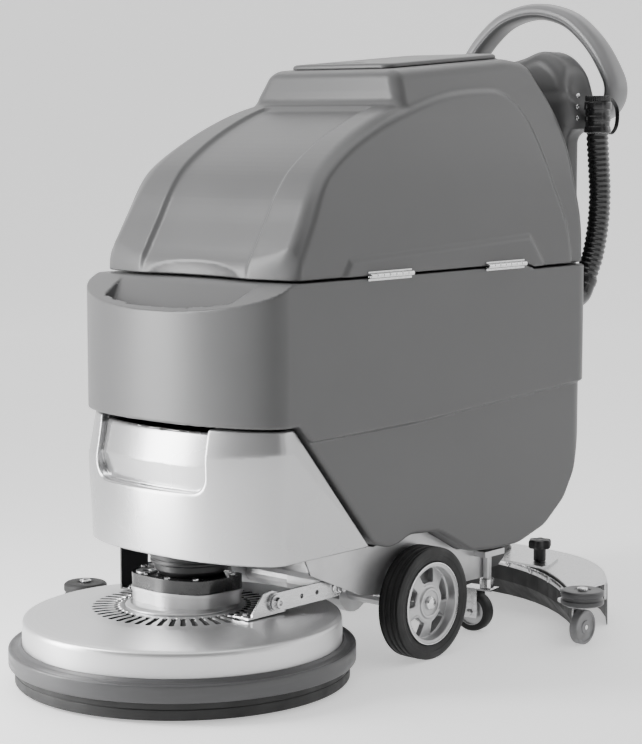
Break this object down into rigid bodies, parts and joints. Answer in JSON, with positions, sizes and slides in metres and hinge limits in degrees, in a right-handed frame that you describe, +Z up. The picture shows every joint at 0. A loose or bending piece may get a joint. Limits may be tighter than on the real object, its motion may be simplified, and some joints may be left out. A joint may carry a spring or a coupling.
{
  "type": "wet dry floor scrubber",
  "caption": "Walk-behind wet dry floor scrubber with a round brush deck, stacked water tanks, a curved suction squeegee, a loop handle and a drain hose.",
  "frame": {"origin": "on the floor, below the middle of the machine's box", "axes": "+Z up; -Y forwards, towards the brush deck; +Y towards the handle and the operator; +X the side with the tank hinges"},
  "size_m": [0.799, 1.276, 1.1156],
  "materials": {
    "tank_plastic": "smooth satin grey rotomoulded polyethylene",
    "silver_cover": "glossy silver paint on moulded plastic",
    "deck_aluminium": "circular brushed cast aluminium",
    "bumper": "satin grey polyurethane",
    "skirt_rubber": "matt black rubber",
    "tyre_rubber": "black rubber with circumferential grooves",
    "caster_rubber": "black tread on a grey core",
    "squeegee_wheel": "grey nylon",
    "squeegee_blade": "grey-black blade rubber",
    "wheel_casting": "cast aluminium with machined rims",
    "gearbox_casting": "die-cast aluminium",
    "motor_casing": "black motor casing",
    "black_moulding": "black moulded plastic",
    "battery_case": "black battery case",
    "hose_plastic": "glossy black corrugated hose and fittings",
    "stainless": "brushed stainless steel",
    "frame_paint": "black powder coat",
    "transaxle_case": "black painted casting",
    "handle": "satin light grey moulding",
    "bristle": "dense black nylon bristles",
    "brush_block": "black moulded brush back",
    "button": "grey rubberised push buttons"
  },
  "bodies": {
    "chassis": {"chassis_frame": "frame_paint", "transaxle": "transaxle_case", "solution_tank": "tank_plastic", "front_cover": "silver_cover", "battery_front": "battery_case", "battery_rear": "battery_case", "vacuum_motor": "motor_casing", "hinge_base_front": "stainless", "hinge_base_rear": "stainless", "rear_column": "tank_plastic", "control_box": "tank_plastic", "control_panel": "black_moulding", "handle_loop": "handle", "drain_hose": "hose_plastic", "hose_elbow": "hose_plastic", "hose_cuff": "hose_plastic", "squeegee_bracket": "stainless"},
    "hose_cap": {"hose_cap": "hose_plastic", "cap_strap": "black_moulding"},
    "deck": {"deck_housing": "deck_aluminium", "bumper_ring": "bumper", "splash_skirt": "skirt_rubber", "gearbox_lower": "gearbox_casting", "gearbox_cover": "black_moulding", "brush_motor": "motor_casing", "deck_bracket_right": "stainless", "deck_bracket_left": "frame_paint"},
    "side_roller": {"side_roller": "bumper"},
    "lift_arms": {"lift_arm_left": "stainless", "lift_arm_right": "stainless"},
    "brush": {"brush_block": "brush_block", "brush_bristles": "bristle"},
    "wheel_left": {"tyre_left": "tyre_rubber", "hub_left": "wheel_casting"},
    "wheel_right": {"tyre_right": "tyre_rubber", "hub_right": "wheel_casting"},
    "caster_fork_left": {"caster_fork_left": "stainless"},
    "caster_fork_right": {"caster_fork_right": "stainless"},
    "caster_wheel_left": {"caster_wheel_left": "caster_rubber"},
    "caster_wheel_right": {"caster_wheel_right": "caster_rubber"},
    "recovery_tank": {"recovery_tank": "tank_plastic", "float_cage": "black_moulding", "hinge_leaf_front": "stainless", "hinge_leaf_rear": "stainless"},
    "tank_lid": {"tank_lid": "tank_plastic"},
    "button_brush": {"button_brush": "button"},
    "button_suction": {"button_suction": "button"},
    "button_water": {"button_water": "button"},
    "key_switch": {"key_switch": "stainless"},
    "squeegee_arm": {"squeegee_arm": "frame_paint"},
    "squeegee": {"squeegee_bridge": "stainless", "squeegee_body": "stainless", "blade_front": "squeegee_blade", "blade_rear": "squeegee_blade"},
    "squeegee_knob_left": {"squeegee_knob_left": "black_moulding"},
    "squeegee_knob_right": {"squeegee_knob_right": "black_moulding"},
    "end_roller_left": {"end_roller_left": "bumper"},
    "end_roller_right": {"end_roller_right": "bumper"},
    "end_wheel_left": {"end_wheel_left": "squeegee_wheel"},
    "end_wheel_right": {"end_wheel_right": "squeegee_wheel"}
  },
  "joints": [
    {"name": "wheel_left_spin", "type": "hinge", "parent": "chassis", "child": "wheel_left", "pos_m": [-0.2125, -0.0014, 0.095], "axis": [1, 0, 0], "continuous": true},
    {"name": "wheel_right_spin", "type": "hinge", "parent": "chassis", "child": "wheel_right", "pos_m": [0.2125, -0.0014, 0.095], "axis": [1, 0, 0], "continuous": true},
    {"name": "caster_left_swivel", "type": "hinge", "parent": "chassis", "child": "caster_fork_left", "pos_m": [-0.186, 0.212, 0.09], "axis": [0, 0, 1], "continuous": true},
    {"name": "caster_left_spin", "type": "hinge", "parent": "caster_fork_left", "child": "caster_wheel_left", "pos_m": [-0.16, 0.208, 0.0355], "axis": [0.1521, 0.9884, 0], "continuous": true},
    {"name": "caster_right_swivel", "type": "hinge", "parent": "chassis", "child": "caster_fork_right", "pos_m": [0.186, 0.212, 0.09], "axis": [0, 0, 1], "continuous": true},
    {"name": "caster_right_spin", "type": "hinge", "parent": "caster_fork_right", "child": "caster_wheel_right", "pos_m": [0.16, 0.208, 0.0355], "axis": [0.1521, -0.9884, 0], "continuous": true},
    {"name": "deck_lift", "type": "hinge", "parent": "chassis", "child": "lift_arms", "pos_m": [0, -0.165, 0.14], "axis": [-1, 0, 0], "range_deg": [0, 7]},
    {"name": "deck_level", "type": "hinge", "parent": "lift_arms", "child": "deck", "pos_m": [0, -0.313, 0.14], "axis": [-1, 0, 0], "range_deg": [-7, 0]},
    {"name": "brush_spin", "type": "hinge", "parent": "deck", "child": "brush", "pos_m": [0, -0.358, 0.05], "axis": [0, 0, 1], "continuous": true},
    {"name": "side_roller_spin", "type": "hinge", "parent": "deck", "child": "side_roller", "pos_m": [-0.297, -0.297, 0.085], "axis": [0, 0, 1], "continuous": true},
    {"name": "recovery_tilt", "type": "hinge", "parent": "chassis", "child": "recovery_tank", "pos_m": [0.2226, 0, 0.6495], "axis": [0, 1, 0], "range_deg": [0, 75]},
    {"name": "lid_open", "type": "hinge", "parent": "recovery_tank", "child": "tank_lid", "pos_m": [0, 0.347, 1.0105], "axis": [-1, 0, 0], "range_deg": [0, 100]},
    {"name": "squeegee_lift", "type": "hinge", "parent": "chassis", "child": "squeegee_arm", "pos_m": [0, 0.262, 0.118], "axis": [1, 0, 0], "range_deg": [0, 15]},
    {"name": "squeegee_swing", "type": "hinge", "parent": "squeegee_arm", "child": "squeegee", "pos_m": [0, 0.33, 0.088], "axis": [0, 0, 1], "range_deg": [-12, 12]},
    {"name": "knob_left_turn", "type": "hinge", "parent": "squeegee", "child": "squeegee_knob_left", "pos_m": [-0.137, 0.441, 0.11], "axis": [0, 0, 1], "continuous": true},
    {"name": "end_roller_left_spin", "type": "hinge", "parent": "squeegee", "child": "end_roller_left", "pos_m": [-0.362, 0.249, 0.08], "axis": [0, 0, 1], "continuous": true},
    {"name": "end_wheel_left_spin", "type": "hinge", "parent": "squeegee", "child": "end_wheel_left", "pos_m": [-0.361, 0.252, 0.03], "axis": [1, 0, 0], "continuous": true},
    {"name": "knob_right_turn", "type": "hinge", "parent": "squeegee", "child": "squeegee_knob_right", "pos_m": [0.137, 0.441, 0.11], "axis": [0, 0, 1], "continuous": true},
    {"name": "end_roller_right_spin", "type": "hinge", "parent": "squeegee", "child": "end_roller_right", "pos_m": [0.362, 0.249, 0.08], "axis": [0, 0, 1], "continuous": true},
    {"name": "end_wheel_right_spin", "type": "hinge", "parent": "squeegee", "child": "end_wheel_right", "pos_m": [0.361, 0.252, 0.03], "axis": [1, 0, 0], "continuous": true},
    {"name": "press_brush", "type": "slide", "parent": "chassis", "child": "button_brush", "axis": [0, -0.9216, -0.3881], "range_m": [0, 0.002], "stiffness_N_per_m": 300},
    {"name": "press_suction", "type": "slide", "parent": "chassis", "child": "button_suction", "axis": [0, -0.9216, -0.3881], "range_m": [0, 0.002], "stiffness_N_per_m": 300},
    {"name": "press_water", "type": "slide", "parent": "chassis", "child": "button_water", "axis": [0, -0.9216, -0.3881], "range_m": [0, 0.002], "stiffness_N_per_m": 300},
    {"name": "key_turn", "type": "hinge", "parent": "chassis", "child": "key_switch", "pos_m": [0.05, 0.6158, 0.9356], "axis": [0, 0.9216, 0.3881], "range_deg": [0, 60]},
    {"name": "hose_cap_lift", "type": "slide", "parent": "chassis", "child": "hose_cap", "axis": [0, 0, 1], "range_m": [0, 0.03]}
  ],
  "couplings": [
    {"joint": "deck_level", "follows": "deck_lift", "ratio": -1}
  ]
}
